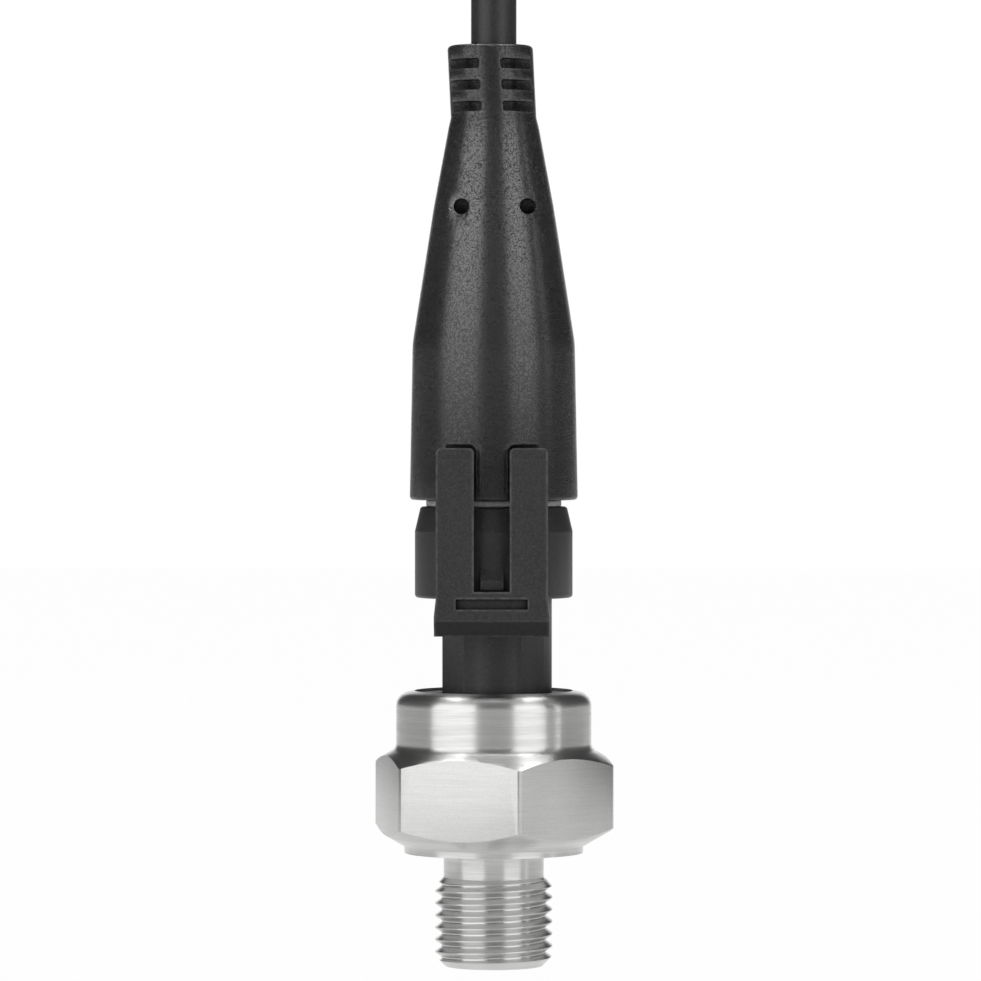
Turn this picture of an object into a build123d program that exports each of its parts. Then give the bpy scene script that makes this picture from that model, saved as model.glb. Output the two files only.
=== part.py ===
from build123d import *
import math
import os

# Pressure transmitter with a plug-in cable, millimetres, +Z up.
# The origin is the centre of the sealing face under the hexagon, and the latch faces -Y.

# Running and assembly clearances
FIT = 0.05                # between pieces that are fitted into each other
SLIDE_FIT = 0.08          # between the plug and the socket that it slides out of
STACK = 0.05              # between pieces stacked along the axis

# Process connection, G 1/4 male with a relief behind the thread
THREAD_R = 6.46
THREAD_LENGTH = 8.8
TIP_CHAMFER = 1.1
RELIEF_R = 5.52
RELIEF_LENGTH = 2.7
RUN_OUT = 1.0
PORT_R = 2.0
PORT_MOUTH = 0.5

# Hexagon with a turned sealing flange
SEAL_FLANGE_R = 9.85
SEAL_FLANGE_T = 0.7
HEX_AF = 24.0
HEX_CORNER_R = 13.72
HEX_TURN = -17.0
HEX_LAND = 6.85
CHAMFER_ANGLE = 30.0

# Round collar that is crimped over the connector base
COLLAR_R = 10.75
COLLAR_H = 5.9
COLLAR_ROUND = 1.5
COLLAR_FILLET = 1.0
LIP_R = 8.7
LIP_T = 0.7
LIP_RISE = 0.45
CAVITY_R = 9.3
CHAMBER_R = 5.2
CHAMBER_DEPTH = 0.8

# Measuring cell, its seal and the electronics above it
CELL_SEAL_R = 0.75
CELL_SEAL_RING_R = 6.6
CELL_R = 8.7
CELL_T = 5.0
SPACER_WALL = 1.1
SPACER_H = 3.75
BOARD_R = 7.8
BOARD_T = 1.0
BOARD_LEDGE = 1.6
BOARD_LEDGE_W = 0.9
CELL_PIN_R = 0.3
CELL_PIN_RING = 5.6
CHIP = (3.6, 3.6, 0.8)
CAPACITOR = (1.6, 0.8, 0.7)

# Connector base: flange, neck, socket shroud and latch nib
BASE_FLANGE_T = 2.4
BASE_BOSS_GAP = 0.28
BASE_RING_R = 0.6
BASE_RING_SQUEEZE = 0.02
NECK_H = 10.7
NECK_FRONT_W = 6.4
NECK_W = 11.15
NECK_FRONT_Y = 5.5
NECK_BACK_R = 6.0
NECK_BACK_X = 0.4
SHROUD_R = 8.68
SHROUD_H = 10.0
SHROUD_SHOULDER = 2.7
SHROUD_TOP_R = 8.05
SHROUD_ROUND = 0.35
SHROUD_WALL = 1.5
SHROUD_FLOOR_T = 1.9
NIB_W = 2.5
NIB_OUT = 0.5
NIB_Z = 1.0
NIB_FACE_H = 1.3
NIB_RAMP_H = 1.15
NIB_EDGE = 0.15
NIB_STEP = 0.22

# Contact blades
PIN_PITCH = 3.4
PIN_W = 1.5
PIN_T = 0.64
PIN_REACH = 5.6
PIN_POINT = 0.5
PIN_BELOW_BOARD = 0.5

# Plug: hard insert, grey seal and contacts
PLUG_GAP = 0.8
NOSE_R = 6.2
NOSE_HEAD_H = 2.2
SEAL_BAND_R = 7.45
SEAL_BAND_T = 0.65
SEAL_RIB_R = 0.4
INSERT_COLLAR_R = 8.0
INSERT_COLLAR_H = 1.9
INSERT_R = 6.8
INSERT_L = 11.15
INSERT_COLLAR_SET = 0.15
INSERT_GROOVE = 0.7
INSERT_GROOVE_W = 2.0
SOCKET_W = 2.3
SOCKET_T = 1.6
SOCKET_L = 13.5

# Overmoulded boot, heights from its lower edge
BOOT_BOTTOM_R = 9.25
BOOT_BOTTOM_ROUND = 0.4
BOOT_WAIST_H = 17.25
BOOT_WAIST_R = 8.93
BOOT_BEND_R = 12.0
BOOT_MID_H = 32.15
BOOT_MID_R = 6.6
BOOT_CONE_H = 42.35
BOOT_H = 50.25
STRAIN_R = 4.7
STRAIN_ROUND = 0.5
SLOT_H = 1.12
SLOT_PITCH = 2.33
SLOT_FIRST_H = 43.45
SLOT_ROWS = 3
SLOT_WEB = 2.3
SLOT_SIDE_RIB = 3.0
SLOT_CORE_R = 3.0
HOLE_R = 0.88
HOLE_X = 3.62
HOLE_H = 32.35
HOLE_DEPTH = 3.2

# Lock lever, rocking on two beads in the insert's collar
LEVER_W = 12.15
LEVER_WINDOW = 3.9
LEVER_BACK_Y = 8.95
LEVER_T = 1.5
LEVER_TOP_H = 5.75
BAR_TOP_GAP = 0.08
BAR_H = 4.85
BAR_CATCH_T = 0.5
BAR_CATCH_H = 0.8
BAR_WING_H = 0.75
BAR_LIP_H = 1.65
BAR_PROUD = 0.45
BAR_FLARE = 0.2
BAR_SLOPE = 0.8
BAR_RECESS_W = 7.8
BAR_RECESS_H = 1.1
BAR_RECESS_TOP = 0.8
BAR_RECESS_D = 0.4
LEG_TOP_SLOPE = 0.5
LEG_TOP_SLOPE_H = 1.3
LEG_CORNER_R = 0.55
PIVOT_Y = 8.1
PIVOT_H = 0.95
BEAD_R = 0.42
BEAD_W = 2.8
NOTCH_SIDE = 0.22
NOTCH_TOP = 0.4
NOTCH_DEPTH = 1.35

# Cable, its cores and the put-away length
CABLE_R = 2.5
CORE_R = 0.65
CORE_SPREAD = 1.0
SIGHT_TURN = 1.2
LEAD_L = 36.0
LEAD_SPREAD = 1.05
LEAD_TIP_L = 5.0
LEAD_TIP_R = 0.4
HANK_Y = 46.0
HANK_FOLD_R = 25.0
HANK_TURNS = 3
HANK_LOW_Z = 15.0
HANK_RUN = 84.0
HANK_END_Z = 62.0
TIE_T = 0.8
TIE_H = 3.6
TIE_GAP = 0.1
TIE_Z = 45.0
CABLE_ROUTE = [
    (0, 0, 76.0),
    (0, 0, 103.0),
    (0, 0.8, 128.5),
    (0, 20.8, 148.5),
    (0, 50.0, 147.0),
    (0, 71.0, 127.0),
    (0, 71.0, 99.0),
]

# Heights worked out along the axis
TIP_Z = -(RELIEF_LENGTH + RUN_OUT + THREAD_LENGTH)
SLOPE = math.tan(math.radians(CHAMFER_ANGLE))
HEX_LOW_Z = SEAL_FLANGE_T + (HEX_CORNER_R - SEAL_FLANGE_R) * SLOPE
HEX_HIGH_Z = HEX_LOW_Z + HEX_LAND
COLLAR_Z = HEX_HIGH_Z + (HEX_CORNER_R - COLLAR_R) * SLOPE
TOP_Z = COLLAR_Z + COLLAR_H
LIP_Z = TOP_Z - LIP_T
BASE_Z = LIP_Z - STACK - BASE_FLANGE_T
SPACER_TOP_Z = BASE_Z - STACK
SPACER_Z = SPACER_TOP_Z - SPACER_H
BOARD_Z = SPACER_Z + BOARD_LEDGE
CELL_TOP_Z = SPACER_Z - STACK
CELL_Z = CELL_TOP_Z - CELL_T
CAVITY_FLOOR = CELL_Z - 2 * CELL_SEAL_R - 2 * STACK
SHROUD_Z = TOP_Z + NECK_H
SHROUD_TOP_Z = SHROUD_Z + SHROUD_H
SHROUD_FLOOR_Z = SHROUD_Z + SHROUD_FLOOR_T
SHROUD_BORE_R = SHROUD_R - SHROUD_WALL
NIB_CATCH_Z = SHROUD_Z + NIB_Z
PIN_TOP_Z = SHROUD_FLOOR_Z + PIN_REACH
PIN_LOW_Z = BOARD_Z - PIN_BELOW_BOARD
NOSE_Z = SHROUD_FLOOR_Z + PLUG_GAP
NOSE_HEAD_R = SHROUD_BORE_R - 3 * SLIDE_FIT
BOOT_Z = SHROUD_TOP_Z + SEAL_BAND_T + 2 * STACK
INSERT_TOP = BOOT_Z + INSERT_L
COLLAR_SEAT_Z = BOOT_Z + INSERT_COLLAR_SET
PIVOT_Z = BOOT_Z + PIVOT_H
LEVER_TOP_Z = BOOT_Z + LEVER_TOP_H
STRAIN_TOP_Z = BOOT_Z + BOOT_H
CABLE_START_Z = CABLE_ROUTE[0][2]
BAR_TOP_Z = NIB_CATCH_Z - BAR_TOP_GAP
BAR_LOW_Z = BAR_TOP_Z - BAR_H
PIN_XS = [-PIN_PITCH, 0.0, PIN_PITCH]

os.makedirs("parts", exist_ok=True)


def save(name, shape):
    shape.label = name
    export_step(shape, f"parts/{name}.step")


def turned(points, radii=None):
    # A solid of revolution about Z from an outline of (radius, height) points.
    outline = Polyline(*points, close=True)
    if radii:
        outline = FilletPolyline(*points, radius=radii, close=True)
    return revolve(Plane.XZ * make_face(outline), Axis.Z)


def rod(radius, low, high, x=0.0, y=0.0):
    return Pos(x, y, (low + high) / 2) * Cylinder(radius, high - low)


def block(x0, x1, y0, y1, z0, z1):
    return Pos((x0 + x1) / 2, (y0 + y1) / 2, (z0 + z1) / 2) * Box(x1 - x0, y1 - y0, z1 - z0)


def side_profile(points, width, radii=None):
    # A prism centred on X from an outline of (y, z) points.
    outline = Polyline(*points, close=True)
    if radii:
        outline = FilletPolyline(*points, radius=radii, close=True)
    return extrude(Plane.YZ * make_face(outline), width / 2, both=True)


def sealing_ring(ring_r, wire_r, height):
    return Pos(0, 0, height) * Torus(ring_r, wire_r)


def route_radii(points, share=0.45):
    # The largest bend that each corner's two runs leave room for.
    radii = []
    for before, here, after in zip(points, points[1:], points[2:]):
        run_in = Vector(*here) - Vector(*before)
        run_out = Vector(*after) - Vector(*here)
        turn = math.radians(run_in.get_angle(run_out))
        radii.append(share * min(run_in.length, run_out.length) / math.tan(turn / 2))
    return radii


def tube(points, radius):
    radii = route_radii(points)
    path = FilletPolyline(*points, radius=radii)
    section = Plane(origin=path @ 0, z_dir=path % 0) * Circle(radius)
    return sweep(section, path=path), path.length, radii


def steel_body():
    outline = [
        (PORT_R, TIP_Z + PORT_MOUTH), (PORT_R + PORT_MOUTH, TIP_Z),
        (THREAD_R - TIP_CHAMFER, TIP_Z), (THREAD_R, TIP_Z + TIP_CHAMFER),
        (THREAD_R, TIP_Z + THREAD_LENGTH), (RELIEF_R, -RELIEF_LENGTH),
        (RELIEF_R, 0), (SEAL_FLANGE_R, 0), (SEAL_FLANGE_R, SEAL_FLANGE_T),
        (HEX_CORNER_R, HEX_LOW_Z), (HEX_CORNER_R, HEX_HIGH_Z),
        (COLLAR_R, COLLAR_Z), (COLLAR_R, TOP_Z),
        (LIP_R, TOP_Z + LIP_RISE), (LIP_R, LIP_Z), (CAVITY_R, LIP_Z),
        (CAVITY_R, CAVITY_FLOOR), (CHAMBER_R, CAVITY_FLOOR),
        (CHAMBER_R, CAVITY_FLOOR - CHAMBER_DEPTH), (PORT_R, CAVITY_FLOOR - CHAMBER_DEPTH),
    ]
    radii = [0.0] * len(outline)
    radii[outline.index((COLLAR_R, COLLAR_Z))] = COLLAR_FILLET
    radii[outline.index((COLLAR_R, TOP_Z))] = COLLAR_ROUND
    radii[outline.index((RELIEF_R, 0))] = 0.3
    body = turned(outline, radii)
    flats = Rot(0, 0, HEX_TURN) * extrude(RegularPolygon(HEX_AF / 2, 6, major_radius=False), TOP_Z)
    height = COLLAR_Z - SEAL_FLANGE_T
    ring = Cylinder(HEX_CORNER_R + 1, height) - Cylinder(SEAL_FLANGE_R, height)
    corners = Pos(0, 0, SEAL_FLANGE_T + height / 2) * ring - flats
    return body - corners


def pressure_cell():
    return rod(CELL_R, CELL_Z, CELL_TOP_Z)


def cell_pins():
    top = BOARD_Z + BOARD_T + CELL_PIN_R
    places = PolarLocations(CELL_PIN_RING, 4, start_angle=45)
    return Compound([place * rod(CELL_PIN_R, CELL_TOP_Z, top) for place in places])


def spacer_ring():
    outer_r = CAVITY_R - FIT
    inner_r = outer_r - SPACER_WALL
    ledge_r = BOARD_R - BOARD_LEDGE_W
    return turned([
        (ledge_r, SPACER_Z), (outer_r, SPACER_Z), (outer_r, SPACER_TOP_Z),
        (inner_r, SPACER_TOP_Z), (inner_r, BOARD_Z), (ledge_r, BOARD_Z),
    ])


def blade_holes(clearance, low, high):
    return [
        block(x - PIN_W / 2 - clearance, x + PIN_W / 2 + clearance,
              -PIN_T / 2 - clearance, PIN_T / 2 + clearance, low, high)
        for x in PIN_XS
    ]


def circuit_board():
    board = rod(BOARD_R, BOARD_Z, BOARD_Z + BOARD_T)
    for place in PolarLocations(CELL_PIN_RING, 4, start_angle=45):
        board -= place * rod(CELL_PIN_R + FIT, BOARD_Z - 1, BOARD_Z + BOARD_T + 1)
    for hole in blade_holes(FIT, BOARD_Z - 1, BOARD_Z + BOARD_T + 1):
        board -= hole
    return board


def on_board(size, x, y):
    top = BOARD_Z + BOARD_T
    length, width, height = size
    return block(x - length / 2, x + length / 2, y - width / 2, y + width / 2, top, top + height)


def signal_chip():
    return on_board(CHIP, 0, 2 * PIN_T + CHIP[1] / 2)


def board_capacitors():
    y = -2 * PIN_T - CAPACITOR[1]
    return Compound([on_board(CAPACITOR, x, y) for x in (-CAPACITOR[0], CAPACITOR[0])])


def neck_section():
    # A round back with a chamfered front, as the mould has it.
    half = NECK_W / 2
    front = NECK_FRONT_W / 2
    chamfer = half - front
    prow = Polyline(
        (-half, 0), (-half, -NECK_FRONT_Y + chamfer), (-front, -NECK_FRONT_Y),
        (front, -NECK_FRONT_Y), (half, -NECK_FRONT_Y + chamfer), (half, 0), close=True)
    return make_face(prow) + Pos(NECK_BACK_X, 0) * Circle(NECK_BACK_R)


def connector_base():
    flange_r = CAVITY_R - FIT
    boss_r = LIP_R - BASE_BOSS_GAP
    groove_r = flange_r - 2 * BASE_RING_R + BASE_RING_SQUEEZE
    groove_half = BASE_RING_R + FIT
    ring_z = BASE_Z + BASE_FLANGE_T / 2
    boss_z = TOP_Z + LIP_RISE - BASE_BOSS_GAP
    flange = turned([
        (0, BASE_Z), (flange_r, BASE_Z), (flange_r, ring_z - groove_half),
        (groove_r, ring_z - groove_half), (groove_r, ring_z + groove_half),
        (flange_r, ring_z + groove_half), (flange_r, BASE_Z + BASE_FLANGE_T),
        (boss_r, BASE_Z + BASE_FLANGE_T), (boss_r, boss_z), (0, boss_z),
    ])
    neck = Pos(0, 0, TOP_Z - LIP_T) * extrude(neck_section(), SHROUD_Z + SHROUD_FLOOR_T / 2 - TOP_Z + LIP_T)
    shroud = turned(
        [(0, SHROUD_Z), (SHROUD_R, SHROUD_Z), (SHROUD_R, SHROUD_TOP_Z - SHROUD_SHOULDER),
         (SHROUD_TOP_R, SHROUD_TOP_Z), (SHROUD_BORE_R, SHROUD_TOP_Z),
         (SHROUD_BORE_R, SHROUD_FLOOR_Z), (0, SHROUD_FLOOR_Z)],
        [0, SHROUD_ROUND, 0.5, SHROUD_ROUND, 0.2, 0, 0])
    face_y = -(SHROUD_R + NIB_OUT)
    root_y = -(SHROUD_R - SHROUD_WALL / 2)
    nib = side_profile([
        (root_y, NIB_CATCH_Z), (face_y + NIB_EDGE, NIB_CATCH_Z), (face_y, NIB_CATCH_Z + NIB_EDGE),
        (face_y, NIB_CATCH_Z + NIB_FACE_H - NIB_STEP), (face_y + NIB_STEP, NIB_CATCH_Z + NIB_FACE_H),
        (-SHROUD_R + FIT, NIB_CATCH_Z + NIB_FACE_H + NIB_RAMP_H),
        (root_y, NIB_CATCH_Z + NIB_FACE_H + NIB_RAMP_H)], NIB_W)
    base = flange + neck + shroud + nib
    for hole in blade_holes(FIT, BASE_Z - 1, SHROUD_FLOOR_Z + 1):
        base -= hole
    return base


def pin(x):
    blade = block(x - PIN_W / 2, x + PIN_W / 2, -PIN_T / 2, PIN_T / 2, PIN_LOW_Z, PIN_TOP_Z)
    tips = blade.faces().sort_by(Axis.Z)[-1].edges().filter_by(Axis.X)
    return chamfer(tips, PIN_POINT, PIN_T / 3)


def contact_cavity(x):
    clear = FIT
    high = INSERT_TOP
    low = high - SOCKET_L - STACK
    pocket = block(x - SOCKET_W / 2 - clear, x + SOCKET_W / 2 + clear,
                   -SOCKET_T / 2 - clear, SOCKET_T / 2 + clear, low, high)
    entry = block(x - PIN_W / 2 - 2 * clear, x + PIN_W / 2 + 2 * clear,
                  -PIN_T / 2 - 2 * clear, PIN_T / 2 + 2 * clear, NOSE_Z - 1, high)
    return pocket + entry


def bead_groove(radius):
    return [
        Pos(side * lever_leg_x(), -PIVOT_Y, PIVOT_Z) * Rot(0, 90, 0) * Cylinder(radius, BEAD_W + 2 * FIT)
        for side in (-1, 1)
    ]


def plug_insert():
    band_top = SHROUD_TOP_Z + STACK + SEAL_BAND_T
    collar_top = COLLAR_SEAT_Z + INSERT_COLLAR_H
    groove_top = INSERT_TOP - INSERT_GROOVE_W
    groove_z = groove_top - INSERT_GROOVE_W
    insert = turned([
        (0, NOSE_Z), (NOSE_HEAD_R, NOSE_Z), (NOSE_HEAD_R, NOSE_Z + NOSE_HEAD_H),
        (NOSE_R, NOSE_Z + NOSE_HEAD_H), (NOSE_R, band_top + STACK),
        (INSERT_R, band_top + STACK), (INSERT_R, COLLAR_SEAT_Z),
        (INSERT_COLLAR_R, COLLAR_SEAT_Z), (INSERT_COLLAR_R, collar_top),
        (INSERT_R, collar_top), (INSERT_R, groove_z), (INSERT_R - INSERT_GROOVE, groove_z),
        (INSERT_R - INSERT_GROOVE, groove_top), (INSERT_R, groove_top),
        (INSERT_R, INSERT_TOP), (0, INSERT_TOP),
    ])
    for x in PIN_XS:
        insert -= contact_cavity(x)
    for groove in bead_groove(BEAD_R + FIT):
        insert -= groove
    return insert


def socket(x):
    low = INSERT_TOP - SOCKET_L
    shell = block(x - SOCKET_W / 2, x + SOCKET_W / 2, -SOCKET_T / 2, SOCKET_T / 2, low, INSERT_TOP)
    slot_top = PIN_TOP_Z + 1.5
    slot = block(x - PIN_W / 2 - FIT, x + PIN_W / 2 + FIT, -PIN_T / 2 - FIT, PIN_T / 2 + FIT, low - 1, slot_top)
    return shell - slot


def nose_seal():
    inner = NOSE_R + FIT
    sleeve_r = (NOSE_R + SHROUD_BORE_R) / 2
    low = NOSE_Z + NOSE_HEAD_H + STACK
    band_z = SHROUD_TOP_Z + STACK
    sleeve = turned([
        (inner, low), (sleeve_r, low), (sleeve_r, band_z), (SEAL_BAND_R, band_z),
        (SEAL_BAND_R, band_z + SEAL_BAND_T), (inner, band_z + SEAL_BAND_T),
    ], [0, 0, 0, 0.15, 0.15, 0])
    rib_r = SHROUD_BORE_R - SLIDE_FIT - SEAL_RIB_R
    for height in (low + 1.0, low + 2.6):
        sleeve += sealing_ring(rib_r, SEAL_RIB_R, height)
    return sleeve


def lever_leg_x():
    return (LEVER_W + LEVER_WINDOW) / 4


def notch(side):
    # The pocket in the boot that a leg of the lever rocks in.
    inner = LEVER_WINDOW / 2 - NOTCH_SIDE
    outer = LEVER_W / 2 + NOTCH_SIDE
    floor_y = -(LEVER_BACK_Y - NOTCH_DEPTH)
    top = LEVER_TOP_Z + NOTCH_TOP
    x0, x1 = sorted((side * inner, side * outer))
    pocket = block(x0, x1, -2 * BOOT_BOTTOM_R, floor_y, BOOT_Z - 1, top)
    corners = pocket.edges().filter_by(Axis.Y).group_by(Axis.Z)[-1]
    pocket = fillet(corners, LEG_CORNER_R + NOTCH_SIDE)
    return pocket


def core_route(x):
    low = INSERT_TOP
    high = CABLE_START_Z
    near = math.copysign(CORE_SPREAD, x) if x else 0.0
    side = 0.0 if x else CORE_SPREAD
    middle = (low + high) / 2
    return [(x, 0, low), (x, 0, low + 6), (near, side, middle + 6), (near, side, high)]


def cable_core(x, radius=CORE_R):
    solid, _, _ = tube(core_route(x), radius)
    return solid


def boot_outline():
    return FilletPolyline(
        (0, BOOT_Z), (BOOT_BOTTOM_R, BOOT_Z), (BOOT_WAIST_R, BOOT_Z + BOOT_WAIST_H),
        (BOOT_MID_R, BOOT_Z + BOOT_MID_H), (STRAIN_R, BOOT_Z + BOOT_CONE_H),
        (STRAIN_R, STRAIN_TOP_Z), (0, STRAIN_TOP_Z),
        radius=[0, BOOT_BOTTOM_ROUND, BOOT_BEND_R, 30.0, 1.0, STRAIN_ROUND, 0], close=True)


def strain_slots():
    # Three rows of windows round the strain relief, with ribs left front, back and at the sides.
    ring = Cylinder(STRAIN_R + 1, SLOT_H) - Cylinder(SLOT_CORE_R, SLOT_H)
    ring -= Box(SLOT_WEB, 4 * STRAIN_R, SLOT_H)
    ring -= Box(4 * STRAIN_R, SLOT_SIDE_RIB, SLOT_H)
    return [Pos(0, 0, BOOT_Z + SLOT_FIRST_H + row * SLOT_PITCH) * ring for row in range(SLOT_ROWS)]


def cable_boot():
    boot = revolve(Plane.XZ * make_face(boot_outline()), Axis.Z)
    collar_top = COLLAR_SEAT_Z + INSERT_COLLAR_H
    groove_top = INSERT_TOP - INSERT_GROOVE_W
    cavity = rod(INSERT_R + FIT, BOOT_Z - 1, INSERT_TOP)
    cavity += rod(INSERT_COLLAR_R + FIT, COLLAR_SEAT_Z - FIT, collar_top + FIT)
    ring = rod(INSERT_R + FIT, groove_top - INSERT_GROOVE_W + FIT, groove_top - FIT)
    ring -= rod(INSERT_R - INSERT_GROOVE + FIT, BOOT_Z, INSERT_TOP)
    boot -= cavity - ring
    for side in (-1, 1):
        boot -= notch(side)
    for part in strain_slots():
        boot -= part
    for x in (-HOLE_X, HOLE_X):
        front = -math.sqrt(BOOT_MID_R ** 2 - x ** 2)
        boot -= Pos(x, front, BOOT_Z + HOLE_H) * Rot(90, 0, 0) * Cylinder(HOLE_R, 2 * HOLE_DEPTH)
    for x in PIN_XS:
        boot -= cable_core(x, CORE_R + FIT)
    boot -= rod(CABLE_R + FIT, CABLE_START_Z, STRAIN_TOP_Z + 1)
    return boot


def lock_lever():
    front_y = -(LEVER_BACK_Y + LEVER_T)
    back_y = -LEVER_BACK_Y
    bar_y = front_y - BAR_PROUD
    ledge_z = BAR_LOW_Z + BAR_LIP_H
    wing_z = BAR_TOP_Z - BAR_WING_H
    lever = side_profile([
        (back_y, LEVER_TOP_Z), (front_y + LEG_TOP_SLOPE, LEVER_TOP_Z),
        (front_y, LEVER_TOP_Z - LEG_TOP_SLOPE_H), (front_y, wing_z),
        (bar_y, ledge_z + 0.5), (bar_y, ledge_z),
        (bar_y + BAR_SLOPE, BAR_LOW_Z), (back_y, BAR_LOW_Z)], LEVER_W)
    window = block(-LEVER_WINDOW / 2, LEVER_WINDOW / 2, bar_y - 1, back_y + 1, BAR_TOP_Z, LEVER_TOP_Z + 1)
    lever -= window
    corners = lever.edges().group_by(Axis.Z)[-1].filter_by(Axis.Y)
    lever = fillet(corners, LEG_CORNER_R)
    catch = side_profile([
        (back_y + 1, BAR_TOP_Z + 0.01), (back_y - BAR_CATCH_T, BAR_TOP_Z + 0.01),
        (back_y, BAR_TOP_Z - BAR_CATCH_H), (back_y + 1, BAR_TOP_Z - BAR_CATCH_H)], LEVER_WINDOW)
    lever -= catch
    flare = Plane.XZ.offset(-back_y) * make_face(Polyline(
        (-LEVER_W / 2, wing_z), (LEVER_W / 2, wing_z),
        (LEVER_W / 2 + BAR_FLARE, ledge_z + 0.5), (LEVER_W / 2 + BAR_FLARE, BAR_LOW_Z),
        (-LEVER_W / 2 - BAR_FLARE, BAR_LOW_Z), (-LEVER_W / 2 - BAR_FLARE, ledge_z + 0.5), close=True))
    wings = extrude(flare, LEVER_T + BAR_PROUD)
    bar = side_profile([
        (back_y, wing_z), (front_y, wing_z),
        (bar_y, ledge_z + 0.5), (bar_y, ledge_z),
        (bar_y + BAR_SLOPE, BAR_LOW_Z), (back_y, BAR_LOW_Z)], LEVER_W + 2 * BAR_FLARE)
    lever += wings & bar
    recess_z = BAR_TOP_Z - BAR_RECESS_TOP
    lever -= block(-BAR_RECESS_W / 2, BAR_RECESS_W / 2, bar_y - 1, front_y + BAR_RECESS_D,
                   recess_z - BAR_RECESS_H, recess_z)
    for side in (-1, 1):
        x = side * lever_leg_x()
        bead = Pos(x, -PIVOT_Y, PIVOT_Z) * Rot(0, 90, 0) * Cylinder(BEAD_R, BEAD_W)
        web = block(x - BEAD_W / 2, x + BEAD_W / 2, back_y - 0.2, -PIVOT_Y, PIVOT_Z - BEAD_R, PIVOT_Z + BEAD_R)
        lever += bead + web
    return lever


def laid_back(shape):
    # The lead is laid back behind the body, turned a little to one side.
    return Rot(0, 0, SIGHT_TURN) * shape


def cable():
    solid, length, radii = tube(CABLE_ROUTE, CABLE_R)
    print("cable bends, mm:", [round(radius, 1) for radius in radii])
    print("cable run, mm:", round(length, 1), "volume over section times length:",
          round(solid.volume / (math.pi * CABLE_R ** 2 * length), 4))
    return laid_back(solid)


def cable_hank():
    # Three nested turns, wound from the outside in, as one solid of their outer shape.
    pitch = 2 * CABLE_R
    width = HANK_TURNS * pitch
    outer = HANK_FOLD_R + CABLE_R
    inner = outer - width
    high = HANK_LOW_Z + HANK_RUN
    fold = Pos(HANK_Y, HANK_LOW_Z) * (Circle(outer) - Circle(inner))
    fold = fold - Pos(HANK_Y, HANK_LOW_Z + outer) * Rectangle(3 * outer, 2 * outer)
    top_y = HANK_Y - CABLE_R
    top_outer = outer - CABLE_R
    top_fold = Pos(top_y, high) * (Circle(top_outer) - Circle(top_outer - 2 * pitch))
    top_fold = top_fold - Pos(top_y, high - outer) * Rectangle(3 * outer, 2 * outer)
    front = HANK_Y - outer
    rear = HANK_Y + inner
    section = fold + top_fold
    section += Pos(front + pitch, (HANK_LOW_Z + high) / 2) * Rectangle(2 * pitch, HANK_RUN)
    section += Pos(front + 2.5 * pitch, (HANK_LOW_Z + HANK_END_Z) / 2) * Rectangle(pitch, HANK_END_Z - HANK_LOW_Z)
    section += Pos(rear + 1.5 * pitch, (HANK_LOW_Z + high) / 2) * Rectangle(width, HANK_RUN)
    return laid_back(extrude(Plane.YZ * section, CABLE_R, both=True))


def hank_tie(middle_y, height):
    inner = (2 * CABLE_R + 2 * TIE_GAP, 2 * CABLE_R * HANK_TURNS + 2 * TIE_GAP)
    outer = (inner[0] + 2 * TIE_T, inner[1] + 2 * TIE_T)
    band = RectangleRounded(*outer, 1.2) - RectangleRounded(*inner, 0.4)
    return laid_back(Pos(0, middle_y, height) * extrude(band, TIE_H / 2, both=True))


def lead_route(index):
    # The three cores leave the jacket side by side and fan out a little.
    place = index - 1
    y = HANK_Y - HANK_FOLD_R + 4 * CABLE_R
    x = place * LEAD_SPREAD
    side = -0.5 * LEAD_SPREAD if place == 0 else 0.5 * LEAD_SPREAD
    return [
        (x, y + side, HANK_END_Z),
        (x, y + side, HANK_END_Z + LEAD_L / 3),
        (1.2 * x, y + side + 1.5 + 2.0 * index, HANK_END_Z + 2 * LEAD_L / 3),
        (1.2 * x, y + side + 2.0 + 3.2 * index, HANK_END_Z + LEAD_L),
    ]


def lead(index):
    solid, _, _ = tube(lead_route(index), CORE_R)
    return laid_back(solid)


def lead_tips():
    tips = []
    for index in range(3):
        before, last = lead_route(index)[-2:]
        way = Vector(*last) - Vector(*before)
        plane = Plane(origin=last, z_dir=way)
        tips.append(laid_back(extrude(plane * Circle(LEAD_TIP_R), LEAD_TIP_L)))
    return Compound(tips)


save("steel_body", steel_body())
save("cell_seal", sealing_ring(CELL_SEAL_RING_R, CELL_SEAL_R, CAVITY_FLOOR + STACK + CELL_SEAL_R))
save("pressure_cell", pressure_cell())
save("cell_pins", cell_pins())
save("spacer_ring", spacer_ring())
save("circuit_board", circuit_board())
save("signal_chip", signal_chip())
save("board_capacitors", board_capacitors())
save("base_o_ring", sealing_ring(CAVITY_R - FIT - BASE_RING_R + BASE_RING_SQUEEZE, BASE_RING_R,
                                 BASE_Z + BASE_FLANGE_T / 2))
save("connector_base", connector_base())
for number, pin_x in enumerate(PIN_XS, start=1):
    save(f"contact_pin_{number}", pin(pin_x))
    save(f"socket_contact_{number}", socket(pin_x))
save("plug_insert", plug_insert())
save("nose_seal", nose_seal())
save("cable_boot", cable_boot())
save("lock_lever", lock_lever())
for colour, core_x in zip(("red", "black", "green"), PIN_XS):
    save(f"core_{colour}", cable_core(core_x))
save("cable", cable())
save("cable_hank", cable_hank())
save("hank_tie_front", hank_tie(HANK_Y - HANK_FOLD_R + 2 * CABLE_R, TIE_Z))
save("hank_tie_rear", hank_tie(HANK_Y + HANK_FOLD_R - 2 * CABLE_R, TIE_Z))
for number, colour in enumerate(("red", "black", "green")):
    save(f"lead_{colour}", lead(number))
save("lead_tips", lead_tips())
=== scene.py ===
import math

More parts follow.
